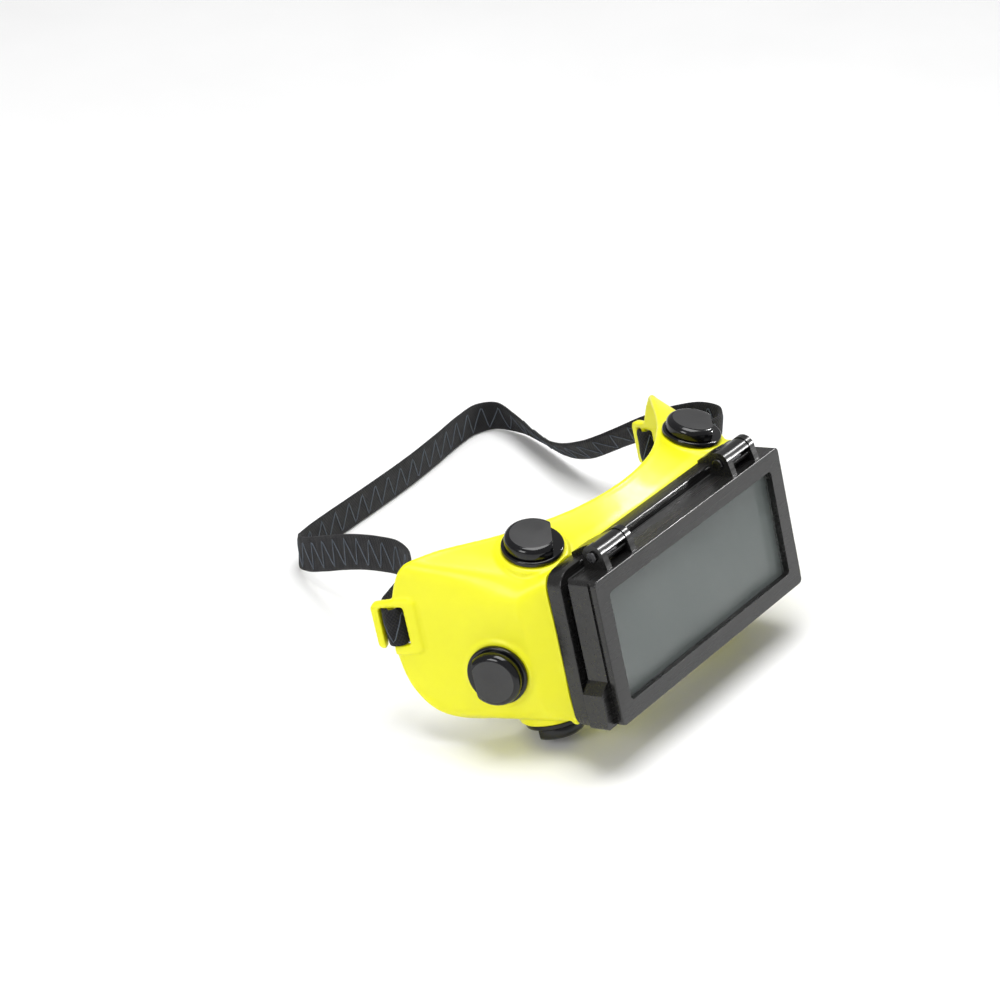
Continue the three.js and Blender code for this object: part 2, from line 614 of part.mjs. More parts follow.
function strapSection() {
  const w = STRAP_WIDTH / 2;
  const t = STRAP_THICKNESS / 2;
  const edge = 0.5;
  return new THREE.Shape([
    [-w, -t + edge], [-w + edge, -t], [w - edge, -t], [w, -t + edge],
    [w, t - edge], [w - edge, t], [-w + edge, t], [-w, t - edge],
  ].map(([a, b]) => new THREE.Vector2(a, b)));
}

// The route is drawn for lugs at these places. Where a lug is elsewhere, the band's end goes with it, and
// the move fades out over the next points. A wider band rides higher, so that its edge stays on the ground.
const DRAWN_LUGS = [new THREE.Vector3(-80.9, 37.27, 43.44), new THREE.Vector3(80.9, 37.27, 43.44)];
const FADE_POINTS = 9;
const groundHeight = STRAP_WIDTH / 2 + 0.4;

function strapPoints(lugs) {
  const last = strapRoute.length - 1;
  return strapRoute.map(([x, y, z], i) => {
    const point = new THREE.Vector3(x, y, Math.max(z, groundHeight));
    [i, last - i].forEach((steps, end) => {
      const share = Math.max(0, 1 - steps / FADE_POINTS);
      point.addScaledVector(lugs[end].clone().sub(DRAWN_LUGS[end]), share);
    });
    return point;
  });
}

function strap(lugs) {
  const points = strapPoints(lugs);
  const path = new THREE.CatmullRomCurve3(points, false, 'centripetal');
  const options = { steps: STRAP_STEPS, extrudePath: path, bevelEnabled: false };
  return new THREE.ExtrudeGeometry(strapSection(), options);
}

// Where the band weaves through the two slots of a lug, along the panel and outwards from it.
const weaveLeft = [
  [-15.5, -3.7], [-11, -3.5], [-7, -3.5], [-5, -2.7], [-4.2, -0.8], [-3.3, 0.9], [-1.6, 1.7], [0.2, 1.5],
  [1.5, 0.4], [2, -1.3], [2.8, -3], [4.5, -4.5], [5.6, -6.2],
];
const weaveRight = [
  [-9.2, 4.9], [-6.7, 3.7], [-4.7, 1.9], [-4.1, -0.4], [-3.3, -2.7], [-1.5, -3.7], [0.3, -3.6], [1.5, -2.4],
  [1.9, -0.4], [2.5, 1.7], [4.3, 2.7], [9.6, 2.7],
];
const WEAVE_STEPS = 30;

function strapEnd(side, weave) {
  const middle = new THREE.SplineCurve(weave.map(([u, n]) => new THREE.Vector2(u, n)));
  const count = WEAVE_STEPS + 1;
  const edge = (hand) => Array.from({ length: count }, (_, i) => {
    const t = i / WEAVE_STEPS;
    const tangent = middle.getTangentAt(t);
    const offset = hand * STRAP_THICKNESS / 2;
    return middle.getPointAt(t).add(new THREE.Vector2(-tangent.y * offset, tangent.x * offset));
  });
  const shape = new THREE.Shape([...edge(-1), ...edge(1).reverse()]);
  const geometry = new THREE.ExtrudeGeometry(shape, { depth: STRAP_WIDTH, bevelEnabled: false });
  geometry.translate(0, 0, -STRAP_WIDTH / 2);
  const { along, up, out, origin } = lugFrame(side);
  geometry.applyMatrix4(new THREE.Matrix4().makeBasis(along, out, up).setPosition(origin));
  return toSolid(side > 0 ? flipFaces(geometry) : geometry);
}

// ---------------------------------------------------------------- assembly

const goggles = new THREE.Group();

function addPiece(name, solid, material) {
  const mesh = new THREE.Mesh(toGeometry(solid), material);
  mesh.name = name;
  goggles.add(mesh);
}

const rows = cupRows();
const ventFrames = ventPlaces.map((vent) => ventFrame(rows, vent));

addPiece('goggle_body', eyecup(rows, ventFrames), yellowVinyl);
addPiece('base_frame', baseFrame(), blackFrame);
addPiece('clear_lens', plate(CLEAR_LENS_THICKNESS, clearFront), clearGlass);
addPiece('clamp_ring', clampRing(), blackFrame);
const seal = openRing(LENS_WIDTH + 6, LENS_HEIGHT + 3.6, SEAL_WIDTH, sealFront, sealFront + SEAL_THICKNESS);
addPiece('light_seal', seal, rubber);
addPiece('flip_frame', flipFrame(), blackFrame);
addPiece('cover_lens', plate(COVER_LENS_THICKNESS, coverFront), clearGlass);
addPiece('shade_lens', plate(SHADE_LENS_THICKNESS, shadeFront), shadeGlass);
addPiece('lens_retainer', openRing(LENS_WIDTH, LENS_HEIGHT, 3, retainerFront, flipBack - GAP), blackFrame);
addPiece('hinge_pin_left', hingePin(-1), steel);
addPiece('hinge_pin_right', hingePin(1), steel);
ventPlaces.forEach(({ name }, i) => {
  addPiece(`vent_base_${name}`, ventBase().transform(ventFrames[i].elements), blackGloss);
  addPiece(`vent_cap_${name}`, ventCap().transform(ventFrames[i].elements), blackGloss);
});

// The goggles lean back and stand on the ground, centred over the origin.
goggles.rotation.x = -THREE.MathUtils.degToRad(LEAN_BACK);
goggles.updateMatrixWorld(true);
const standing = new THREE.Box3().setFromObject(goggles, true);
goggles.position.y = -(standing.min.y + standing.max.y) / 2;
goggles.position.z = -standing.min.z;
goggles.updateMatrixWorld(true);

addPiece('strap_end_left', strapEnd(-1, weaveLeft), webbing);
addPiece('strap_end_right', strapEnd(1, weaveRight), webbing);

const lugPlaces = [-1, 1].map((side) => lugFrame(side).origin.applyMatrix4(goggles.matrixWorld));
const assembly = new THREE.Group();
assembly.add(goggles);
const strapMesh = new THREE.Mesh(strap(lugPlaces), webbing);
strapMesh.name = 'headband_strap';
assembly.add(strapMesh);

export default assembly;
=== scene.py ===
"""Looks of the flip-front welding goggles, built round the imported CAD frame."""

import math

import bmesh
import bpy
import numpy as np
from mathutils import Matrix, Vector


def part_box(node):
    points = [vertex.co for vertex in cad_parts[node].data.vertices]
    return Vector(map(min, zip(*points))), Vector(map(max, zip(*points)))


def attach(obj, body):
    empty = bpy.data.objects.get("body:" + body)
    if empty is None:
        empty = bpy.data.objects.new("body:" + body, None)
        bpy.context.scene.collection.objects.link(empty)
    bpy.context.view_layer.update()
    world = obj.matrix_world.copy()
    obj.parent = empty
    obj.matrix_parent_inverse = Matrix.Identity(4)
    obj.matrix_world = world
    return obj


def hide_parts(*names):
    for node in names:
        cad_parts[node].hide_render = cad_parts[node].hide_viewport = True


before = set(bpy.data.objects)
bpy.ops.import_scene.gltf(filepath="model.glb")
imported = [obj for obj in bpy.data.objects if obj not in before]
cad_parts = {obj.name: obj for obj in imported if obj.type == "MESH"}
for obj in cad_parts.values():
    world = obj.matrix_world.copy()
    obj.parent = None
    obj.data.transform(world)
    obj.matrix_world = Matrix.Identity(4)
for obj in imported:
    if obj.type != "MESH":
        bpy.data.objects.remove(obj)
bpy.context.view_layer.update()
SCENE = bpy.context.scene

# The goggles are drawn in their own frame, in millimetres: X to the viewer's right, Y from the lens towards
# the face, Z up, with the origin in the middle of the seam. They stand leaned back in the row frame.
MM = 0.001
LEAN = math.radians(14.5)
CLEAR_LENS_DEPTH = -4.0
_low, _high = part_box("clear_lens")
TO_ROW = (
    Matrix.Translation((Vector(_low) + Vector(_high)) / 2)
    @ Matrix.Rotation(-LEAN, 4, "X")
    @ Matrix.Scale(MM, 4)
    @ Matrix.Translation((0, -CLEAR_LENS_DEPTH, 0))
)
ROW_UP = Vector((0, 0, 1))

# ---------------------------------------------------------------- camera, floor and light

camera_data = bpy.data.cameras.new("camera")
camera_data.lens = 108
camera_data.sensor_width = 36
camera = bpy.data.objects.new("camera", camera_data)
camera.location = TO_ROW @ Vector((-772.35, -614.39, 416.52))
VIEW_DIRECTION = TO_ROW.to_3x3() @ Vector((0.70187, 0.61749, -0.35509))
camera.rotation_euler = VIEW_DIRECTION.to_track_quat("-Z", "Y").to_euler()
SCENE.collection.objects.link(camera)
SCENE.camera = camera

# ---------------------------------------------------------------- materials


def shader_nodes(name):
    material = bpy.data.materials.new(name)
    material.use_nodes = True
    tree = material.node_tree
    return material, tree, tree.nodes["Principled BSDF"]


def set_socket(shader, **values):
    for name, value in values.items():
        shader.inputs[name.replace("_", " ")].default_value = value


def noise(tree, scale, detail=4.0, stretch=(1, 1, 1)):
    """A noise field over the object's own coordinates, in features per metre."""
    place = tree.nodes.new("ShaderNodeTexCoord")
    mapping = tree.nodes.new("ShaderNodeMapping")
    mapping.inputs["Scale"].default_value = stretch
    field = tree.nodes.new("ShaderNodeTexNoise")
    field.inputs["Scale"].default_value = scale
    field.inputs["Detail"].default_value = detail
    tree.links.new(place.outputs["Object"], mapping.inputs["Vector"])
    tree.links.new(mapping.outputs["Vector"], field.inputs["Vector"])
    return field.outputs["Fac"]


def remap(tree, value, low, high, start=0.3, end=0.7):
    node = tree.nodes.new("ShaderNodeMapRange")
    node.inputs["From Min"].default_value = start
    node.inputs["From Max"].default_value = end
    node.inputs["To Min"].default_value = low
    node.inputs["To Max"].default_value = high
    tree.links.new(value, node.inputs["Value"])
    return node.outputs["Result"]


def mix_colors(tree, value, first, second):
    ramp = tree.nodes.new("ShaderNodeValToRGB")
    ramp.color_ramp.elements[0].color = (*first, 1)
    ramp.color_ramp.elements[0].position = 0.3
    ramp.color_ramp.elements[1].color = (*second, 1)
    ramp.color_ramp.elements[1].position = 0.7
    tree.links.new(value, ramp.inputs["Fac"])
    return ramp.outputs["Color"]


def bump(tree, shader, height, strength, distance, under=None):
    node = tree.nodes.new("ShaderNodeBump")
    node.inputs["Strength"].default_value = strength
    node.inputs["Distance"].default_value = distance
    tree.links.new(height, node.inputs["Height"])
    if under is not None:
        tree.links.new(under, node.inputs["Normal"])
    tree.links.new(node.outputs["Normal"], shader.inputs["Normal"])
    return node.outputs["Normal"]


def moulded(name, first, second, rough_low, rough_high, grain, depth, stretch=(1, 1, 1), waviness=0.0):
    """Moulded plastic: two shades, uneven gloss, a fine grain and a long soft waviness."""
    material, tree, shader = shader_nodes(name)
    tree.links.new(mix_colors(tree, noise(tree, 60), first, second), shader.inputs["Base Color"])
    patchy = noise(tree, 140, 5, stretch)
    tree.links.new(remap(tree, patchy, rough_low, rough_high), shader.inputs["Roughness"])
    under = None
    if waviness:
        under = bump(tree, shader, noise(tree, 45, 1), 1.0, waviness)
    bump(tree, shader, noise(tree, grain, 3, stretch), 0.5, depth, under)
    return material, shader


def vinyl():
    material, shader = moulded(
        "yellow_vinyl", (0.81, 0.79, 0.001), (0.85, 0.83, 0.003), 0.34, 0.48, 900, 0.00004, waviness=0.0004
    )
    set_socket(shader, Subsurface_Weight=0.2, Subsurface_Scale=0.002, Coat_Weight=0.1, Coat_Roughness=0.15)
    shader.inputs["Subsurface Radius"].default_value = (1.0, 0.9, 0.15)
    return material


def frame_plastic():
    material, shader = moulded(
        "black_frame", (0.007, 0.007, 0.007), (0.013, 0.0125, 0.012), 0.2, 0.32, 420, 0.00003,
        stretch=(0.2, 3, 3), waviness=0.00025,
    )
    set_socket(shader, Specular_IOR_Level=0.5)
    return material


def gloss_plastic():
    material, shader = moulded(
        "black_gloss", (0.002, 0.002, 0.003), (0.005, 0.005, 0.006), 0.10, 0.20, 700, 0.00002, waviness=0.0002
    )
    set_socket(shader, Specular_IOR_Level=0.4)
    return material


# The caps' flat tops: a rougher, matte black whose base colour is lighter than the gloss. The lighter colour
# is painted reflection of the overhead light.
def cap_face_painted_reflection_plastic():
    material, _ = moulded(
        "black_cap_face_painted_reflection", (0.022, 0.022, 0.023), (0.032, 0.032, 0.033), 0.38, 0.55, 1500, 0.00006
    )
    return material


def rubber():
    material, _ = moulded(
        "black_rubber", (0.010, 0.010, 0.010), (0.018, 0.018, 0.018), 0.6, 0.8, 1800, 0.0001
    )
    return material


def steel():
    material, shader = moulded(
        "steel", (0.08, 0.08, 0.083), (0.12, 0.12, 0.125), 0.2, 0.34, 1600, 0.00003, (0.2, 3, 3)
    )
    set_socket(shader, Metallic=1.0)
    return material


def shade_glass():
    material, tree, shader = shader_nodes("shade_glass")
    shade = mix_colors(tree, noise(tree, 25, 3), (0.120, 0.143, 0.142), (0.135, 0.158, 0.156))
    tree.links.new(shade, shader.inputs["Base Color"])
    tree.links.new(remap(tree, noise(tree, 60, 2), 0.12, 0.18), shader.inputs["Roughness"])
    bump(tree, shader, noise(tree, 14, 1), 0.3, 0.0001)
    return material


def clear_glass():
    material, tree, shader = shader_nodes("clear_glass")
    # A whitish-grey diffuse veil at low alpha over the clear glass: partly haze, partly painted reflection of
    # the bright surroundings.
    haze_and_painted_reflection = mix_colors(tree, noise(tree, 30, 2), (0.25, 0.28, 0.27), (0.30, 0.33, 0.32))
    tree.links.new(haze_and_painted_reflection, shader.inputs["Base Color"])
    tree.links.new(remap(tree, noise(tree, 60, 2), 0.05, 0.10), shader.inputs["Roughness"])
    tree.links.new(remap(tree, noise(tree, 30, 2), 0.22, 0.28), shader.inputs["Alpha"])
    bump(tree, shader, noise(tree, 12, 1), 0.2, 0.0001)
    return material


def webbing():
    """Woven elastic: ribs along the band and picks across it, from the band's own length and width."""
    material, tree, shader = shader_nodes("webbing")
    place = tree.nodes.new("ShaderNodeAttribute")
    place.attribute_name = "band"
    split = tree.nodes.new("ShaderNodeSeparateXYZ")
    tree.links.new(place.outputs["Vector"], split.inputs["Vector"])

    def wave(source, per_metre):
        phase = tree.nodes.new("ShaderNodeMath")
        phase.operation = "MULTIPLY"
        phase.inputs[1].default_value = 2 * math.pi * per_metre
        tree.links.new(source, phase.inputs[0])
        curve = tree.nodes.new("ShaderNodeMath")
        curve.operation = "SINE"
        tree.links.new(phase.outputs[0], curve.inputs[0])
        return curve.outputs[0]

    weave = tree.nodes.new("ShaderNodeMath")
    weave.operation = "MULTIPLY"
    tree.links.new(wave(split.outputs["X"], 900), weave.inputs[0])
    tree.links.new(wave(split.outputs["Y"], 620), weave.inputs[1])
    threads = remap(tree, weave.outputs[0], 0, 1, -1, 1)
    shades = mix_colors(tree, threads, (0.004, 0.004, 0.005), (0.014, 0.014, 0.016))
    tree.links.new(shades, shader.inputs["Base Color"])
    tree.links.new(remap(tree, noise(tree, 300, 4), 0.75, 0.95), shader.inputs["Roughness"])
    under = bump(tree, shader, noise(tree, 2600, 3), 0.6, 0.0002)
    bump(tree, shader, threads, 0.9, 0.00022, under)
    set_socket(shader, Sheen_Weight=0.05, Sheen_Roughness=0.5, Specular_IOR_Level=0.3)
    return material


def stitch_thread():
    material, tree, shader = shader_nodes("stitch_thread")
    twist = noise(tree, 1800, 2, (1, 1, 3))
    shades = mix_colors(tree, twist, (0.045, 0.055, 0.070), (0.10, 0.12, 0.15))
    tree.links.new(shades, shader.inputs["Base Color"])
    tree.links.new(remap(tree, twist, 0.5, 0.8), shader.inputs["Roughness"])
    bump(tree, shader, twist, 0.6, 0.0001)
    return material


def floor_paper():
    material, tree, shader = shader_nodes("floor_paper")
    shades = mix_colors(tree, noise(tree, 8, 3), (0.90, 0.90, 0.90), (0.93, 0.93, 0.93))
    tree.links.new(shades, shader.inputs["Base Color"])
    tree.links.new(remap(tree, noise(tree, 30, 4), 0.75, 0.9), shader.inputs["Roughness"])
    return material


VINYL = vinyl()
FRAME_PLASTIC = frame_plastic()
GLOSS = gloss_plastic()
CAP_FACE_PAINTED_REFLECTION = cap_face_painted_reflection_plastic()
RUBBER = rubber()
STEEL = steel()
SHADE_GLASS = shade_glass()
CLEAR_GLASS = clear_glass()
WEBBING = webbing()
THREAD = stitch_thread()

# ---------------------------------------------------------------- mesh helpers


def new_object(name, vertices, faces, *materials):
    mesh = bpy.data.meshes.new(name)
    mesh.from_pydata([tuple(v) for v in vertices], [], faces)
    mesh.validate()
    for material in materials:
        mesh.materials.append(material)
    item = bpy.data.objects.new(name, mesh)
    SCENE.collection.objects.link(item)
    return item


def transform(item, matrix):
    item.data.transform(matrix)
    if matrix.determinant() < 0:
        item.data.flip_normals()
    return item


def apply_modifiers(item):
    """Puts the result of an object's modifiers into its mesh."""
    graph = bpy.context.evaluated_depsgraph_get()
    graph.update()
    mesh = bpy.data.meshes.new_from_object(item.evaluated_get(graph))
    old = item.data
    item.modifiers.clear()
    item.data = mesh
    bpy.data.meshes.remove(old)
    return item


def join(items):
    """One mesh object out of several."""
    merged = bmesh.new()
    for item in items:
        merged.from_mesh(item.data)
    merged.to_mesh(items[0].data)
    merged.free()
    for item in items[1:]:
        bpy.data.objects.remove(item)
    return items[0]


def remesh(item, size):
    modifier = item.modifiers.new("remesh", "REMESH")
    modifier.mode = "VOXEL"
    modifier.voxel_size = size
    return apply_modifiers(item)


def relax(item, factor, steps):
    modifier = item.modifiers.new("smooth", "SMOOTH")
    modifier.factor = factor
    modifier.iterations = steps
    return apply_modifiers(item)


def cut(item, cutter):
    modifier = item.modifiers.new("cut", "BOOLEAN")
    modifier.operation = "DIFFERENCE"
    modifier.solver = "MANIFOLD"
    modifier.object = cutter
    apply_modifiers(item)
    bpy.data.objects.remove(cutter)
    return item


def smooth_shaded(item, angle):
    item.data.shade_smooth()
    item.data.set_sharp_from_angle(angle=math.radians(angle))
    return item


WELD_DISTANCE = 0.00001
FLAT_ANGLE = math.radians(1.5)
SHARP_ANGLE = math.radians(35)


def rounded(item, width):
    """Merges flat facets and rounds the sharp edges, without touching the item's own mesh."""
    merge = item.modifiers.new("merge", "WELD")
    merge.merge_threshold = WELD_DISTANCE
    flat = item.modifiers.new("flat", "DECIMATE")
    flat.decimate_type = "DISSOLVE"
    flat.angle_limit = FLAT_ANGLE
    edges = item.modifiers.new("edges", "BEVEL")
    edges.width = width
    edges.segments = 3
    edges.limit_method = "ANGLE"
    edges.angle_limit = SHARP_ANGLE
    edges.harden_normals = False
    edges.use_clamp_overlap = True
    normals = item.modifiers.new("normals", "WEIGHTED_NORMAL")
    normals.keep_sharp = False
    normals.weight = 80
    return item


def prism(outline, low, high):
    """A closed prism over an outline in the XY plane, from z low to z high."""
    count = len(outline)
    vertices = [(x, y, low) for x, y in outline] + [(x, y, high) for x, y in outline]
    faces = [list(reversed(range(count))), list(range(count, 2 * count))]
    for i in range(count):
        k = (i + 1) % count
        faces.append([i, k, count + k, count + i])
    item = new_object("prism", vertices, faces)
    tidy_normals(item)
    return item


def tidy_normals(item):
    work = bmesh.new()
    work.from_mesh(item.data)
    bmesh.ops.recalc_face_normals(work, faces=work.faces)
    work.to_mesh(item.data)
    work.free()


def lathe(name, profile, segments, *materials):
    """A solid of revolution about Z. The profile runs from axis to axis, or closes on itself."""
    ring = bmesh.new()
    columns = []
    for i in range(segments):
        angle = 2 * math.pi * i / segments
        columns.append([ring.verts.new((r * math.cos(angle), r * math.sin(angle), z)) for r, z in profile])
    count = len(profile)
    for i in range(segments):
        here, there = columns[i], columns[(i + 1) % segments]
        for j in range(count - 1):
            ring.faces.new((here[j], there[j], there[j + 1], here[j + 1]))
        if profile[0][0] > 0:
            ring.faces.new((here[-1], there[-1], there[0], here[0]))
    bmesh.ops.remove_doubles(ring, verts=ring.verts, dist=0.0001)
    bmesh.ops.recalc_face_normals(ring, faces=ring.faces)
    mesh = bpy.data.meshes.new(name)
    ring.to_mesh(mesh)
    ring.free()
    for material in materials:
        mesh.materials.append(material)
    item = bpy.data.objects.new(name, mesh)
    SCENE.collection.objects.link(item)
    return item


def fillet(centre_r, centre_z, radius, steps):
    """Points of an outer round corner in a lathe profile, from the side to the top."""
    angles = [math.radians(90 * i / steps) for i in range(steps + 1)]
    return [(centre_r + radius * math.cos(a), centre_z + radius * math.sin(a)) for a in angles]


def rectangle(x0, x1, y0, y1):
    return [(x0, y0), (x1, y0), (x1, y1), (x0, y1)]


def catmull_rom(points, steps, closed):
    """A centripetal Catmull-Rom curve, the same as the CAD's: steps samples for each span."""
    points = [np.array(p, float) for p in points]
    count = len(points)
    spans = count if closed else count - 1
    out = []
    for i in range(spans):
        p1, p2 = points[i], points[(i + 1) % count]
        p0 = points[i - 1] if closed or i > 0 else 2 * points[0] - points[1]
        p3 = points[(i + 2) % count] if closed or i + 2 < count else 2 * points[-1] - points[-2]
        d0, d1, d2 = (math.sqrt(np.linalg.norm(b - a)) for a, b in ((p0, p1), (p1, p2), (p2, p3)))
        t1 = ((p1 - p0) / d0 - (p2 - p0) / (d0 + d1) + (p2 - p1) / d1) * d1
        t2 = ((p2 - p1) / d1 - (p3 - p1) / (d1 + d2) + (p3 - p2) / d2) * d1
        for j in range(steps):
            t = j / steps
            out.append(p1 + t1 * t + (3 * (p2 - p1) - 2 * t1 - t2) * t * t + (2 * (p1 - p2) + t1 + t2) * t**3)
    if not closed:
        out.append(points[-1])
    return np.array(out)


# ---------------------------------------------------------------- eyecup

SEAM = [
    (0, 0, 29), (25, 0, 29), (44, 0, 29), (53, 0, 29), (58.4, 0, 28.4), (60.4, 0, 26), (60.4, 0, 9),
    (60.4, 0, -8), (60.4, 0, -21), (58, 0, -27.6), (46, 0, -29), (28, 0, -29), (13, 0, -29), (0, 0, -29),
]
CREASE = [
    (0, 2, 31), (25, 2.8, 31.1), (46, 4.6, 31.1), (56, 6.2, 30), (62.6, 7.6, 27), (66.8, 8.7, 22),
    (67, 8.7, 8), (67, 8.6, -7), (66.8, 8.2, -18), (62, 7, -26.4), (48, 5, -30), (29, 3, -30.6),
    (13.5, 2.4, -30), (0, 1.7, -28.4),
]
FACE = [
    (0, 8.2, 37), (26, 12.4, 37.2), (50, 25, 37.7), (70.5, 41.2, 38.2), (78, 47.4, 36), (80.1, 53.2, 25),
    (80.9, 55.5, 12), (80.9, 55.6, 1), (80, 52.6, -10.5), (76.8, 44, -20.5), (60, 32, -29), (40, 20.5, -32),
    (20, 10.5, -30.6), (0, 5.8, -27.4),
]
CUP_WALL = 2.0
CUP_LIP = 2.2
RIM_RADIUS = 1.25
RIM_INSET = 1.1
WINDOW = (104, 41)
FRONT_PLATE = (119.6, 57.2)
SPAN_STEPS = 9
BEVEL_ROWS = 6
PANEL_ROWS = 30
VOXEL = 0.5 * MM

THROUGH = 9  # how far a cutter reaches past the surface it cuts
FIT = 0.3  # play between pieces

VENT_FLANGE = 11
BOSS_PROUD = 0.9
BOSS_FOOT = -2.6
STEM = 6.6
BARB = 7.6
STEM_BOTTOM = -CUP_WALL - 3.4


def outline(points):
    """The whole outline from its half, as the CAD samples it."""
    mirrored = [(-x, y, z) for x, y, z in reversed(points[1:-1])]
    return catmull_rom(points + mirrored, SPAN_STEPS, True)


def cup_rows():
    seam, crease, face = outline(SEAM), outline(CREASE), outline(FACE)
    front = seam * (1, 0, 1) - (0, CUP_WALL, 0)
    rows = [front] + [seam + (crease - seam) * i / BEVEL_ROWS for i in range(BEVEL_ROWS)]
    rows += [crease + (face - crease) * i / PANEL_ROWS for i in range(PANEL_ROWS + 1)]
    return np.array(rows)


def grid_normals(rows):
    along = np.roll(rows, -1, axis=1) - np.roll(rows, 1, axis=1)
    across = np.gradient(rows, axis=0)
    normal = np.cross(along, across)
    return normal / np.linalg.norm(normal, axis=2, keepdims=True)


def cup_wall(rows):
    inner = rows - CUP_WALL * grid_normals(rows)
    vertices = np.concatenate([rows.reshape(-1, 3), inner.reshape(-1, 3)])
    height, count = rows.shape[:2]
    inside = height * count
    faces = []
    for j in range(count):
        k = (j + 1) % count
        for i in range(height - 1):
            a, b, c, d = i * count + j, i * count + k, (i + 1) * count + k, (i + 1) * count + j
            faces.append((a, b, c, d))
            faces.append((inside + a, inside + d, inside + c, inside + b))
        last = (height - 1) * count
        faces.append((last + j, last + k, inside + last + k, inside + last + j))
        faces.append((j, inside + j, inside + k, k))
    wall = new_object("cup_wall", vertices, faces)
    tidy_normals(wall)
    return wall


def rim_line(rows):
    """The middle of the bead on the face edge, just inside the CAD's own edge."""
    inward = rows[-2] - rows[-1]
    inward /= np.linalg.norm(inward, axis=1, keepdims=True)
    return rows[-1] - 0.5 * CUP_WALL * grid_normals(rows)[-1] + RIM_INSET * inward


def tube(name, path, radius, sides, closed, *materials):
    """A round tube along a path, with closed ends unless the path is a loop."""
    path = np.array(path)
    count = len(path)
    ahead = np.roll(path, -1, axis=0) - np.roll(path, 1, axis=0)
    if not closed:
        ahead[0], ahead[-1] = path[1] - path[0], path[-1] - path[-2]
    ahead /= np.linalg.norm(ahead, axis=1, keepdims=True)
    up = np.zeros_like(path)
    reference = np.array((0.0, 0.0, 1.0)) if abs(ahead[0][2]) < 0.9 else np.array((1.0, 0.0, 0.0))
    for i in range(count):
        reference = reference - ahead[i] * reference.dot(ahead[i])
        reference /= np.linalg.norm(reference)
        up[i] = reference
    side = np.cross(ahead, up)
    vertices = []
    for i in range(count):
        for s in range(sides):
            angle = 2 * math.pi * s / sides
            vertices.append(path[i] + radius * (math.cos(angle) * side[i] + math.sin(angle) * up[i]))
    faces = []
    for i in range(count if closed else count - 1):
        k = (i + 1) % count
        for s in range(sides):
            t = (s + 1) % sides
            faces.append((i * sides + s, i * sides + t, k * sides + t, k * sides + s))
    if not closed:
        faces.append(tuple(reversed(range(sides))))
        faces.append(tuple(range((count - 1) * sides, count * sides)))
    item = new_object(name, vertices, faces, *materials)
    tidy_normals(item)
    return item


def lug_matrix(side):
    """Local axes of a lug: along the side panel towards the back, up, and outwards."""
    crease, edge = np.array(CREASE[6]), np.array(FACE[6])
    along = Vector((edge[0] - crease[0], edge[1] - crease[1], 0)).normalized()
    along.x *= side
    out = Vector((along.y * side, -along.x * side, 0))
    place = Vector((side * edge[0], edge[1], LUG_MIDDLE))
    return Matrix.Translation(place) @ Matrix((along, (0, 0, 1), out)).transposed().to_4x4()


LUG_MIDDLE = 14.2
STRAP_WIDTH = 14.0
LUG_HALF = STRAP_WIDTH / 2 + 0.3
SLOT_START = -6.0
MIDDLE_BAR = (-2.0, 0.4)
BACK_BAR = (3.4, 6.3)
LUG_INSIDE = -CUP_WALL - 0.2
LUG_OUTSIDE = LUG_INSIDE + 3.4
MIDDLE_BAR_RECESS = 1.2


def lug_hook(side):
    pad = SLOT_START - 4.5
    half = LUG_HALF
    shape = [
        (pad, -half - 2), (pad + 2, -half - 3.4), (MIDDLE_BAR[1], -half - 3.4), (MIDDLE_BAR[1], -half + 0.6),
        (BACK_BAR[0], -half + 0.6), (BACK_BAR[0], -half - 0.8), (BACK_BAR[1] - 1, -half - 0.8),
        (BACK_BAR[1], -half + 0.6), (BACK_BAR[1], half + 0.6), (BACK_BAR[1] - 1.4, half + 2),
        (MIDDLE_BAR[0], half + 2.6), (pad + 2, half + 2.6), (pad, half + 1.2),
    ]
    return transform(prism(shape, LUG_INSIDE, LUG_OUTSIDE), lug_matrix(side))


def lug_slots(side):
    half = LUG_HALF
    recess = rectangle(MIDDLE_BAR[0] - 1, MIDDLE_BAR[1] + 1, -half, half)
    boxes = [
        prism(rectangle(SLOT_START, MIDDLE_BAR[0], -half, half), -THROUGH, THROUGH),
        prism(rectangle(MIDDLE_BAR[1], BACK_BAR[0], -half - THROUGH, half), -THROUGH, THROUGH),
        prism(recess, LUG_OUTSIDE - MIDDLE_BAR_RECESS, THROUGH),
    ]
    return [transform(item, lug_matrix(side)) for item in boxes]


def slab(width, height, front, back):
    """A plate across the goggles, facing the wearer."""
    item = prism(rectangle(-width / 2, width / 2, -height / 2, height / 2), -back, -front)
    return transform(item, Matrix.Rotation(math.radians(90), 4, "X"))


VENTS = ["top_left", "top_right", "bottom_left", "bottom_right", "side_left", "side_right"]


def node_points(name):
    """A CAD node's own vertices, once each, in the row frame."""
    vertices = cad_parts[name].data.vertices
    return np.unique(np.round([v.co for v in vertices], 7), axis=0)


def widest_normal(name, towards=None, square_to=None):
    """The direction that most of a CAD node's flat surface faces, among those that fit."""
    areas = {}
    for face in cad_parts[name].data.polygons:
        if towards is not None and face.normal.dot(towards) < 0.3:
            continue
        if square_to is not None and abs(face.normal.dot(square_to)) > 0.02:
            continue
        key = tuple(round(c, 2) for c in face.normal)
        total, mean = areas.get(key, (0, Vector()))
        areas[key] = (total + face.area, mean + face.normal * face.area)
    return max(areas.values(), key=lambda entry: entry[0])[1].normalized()


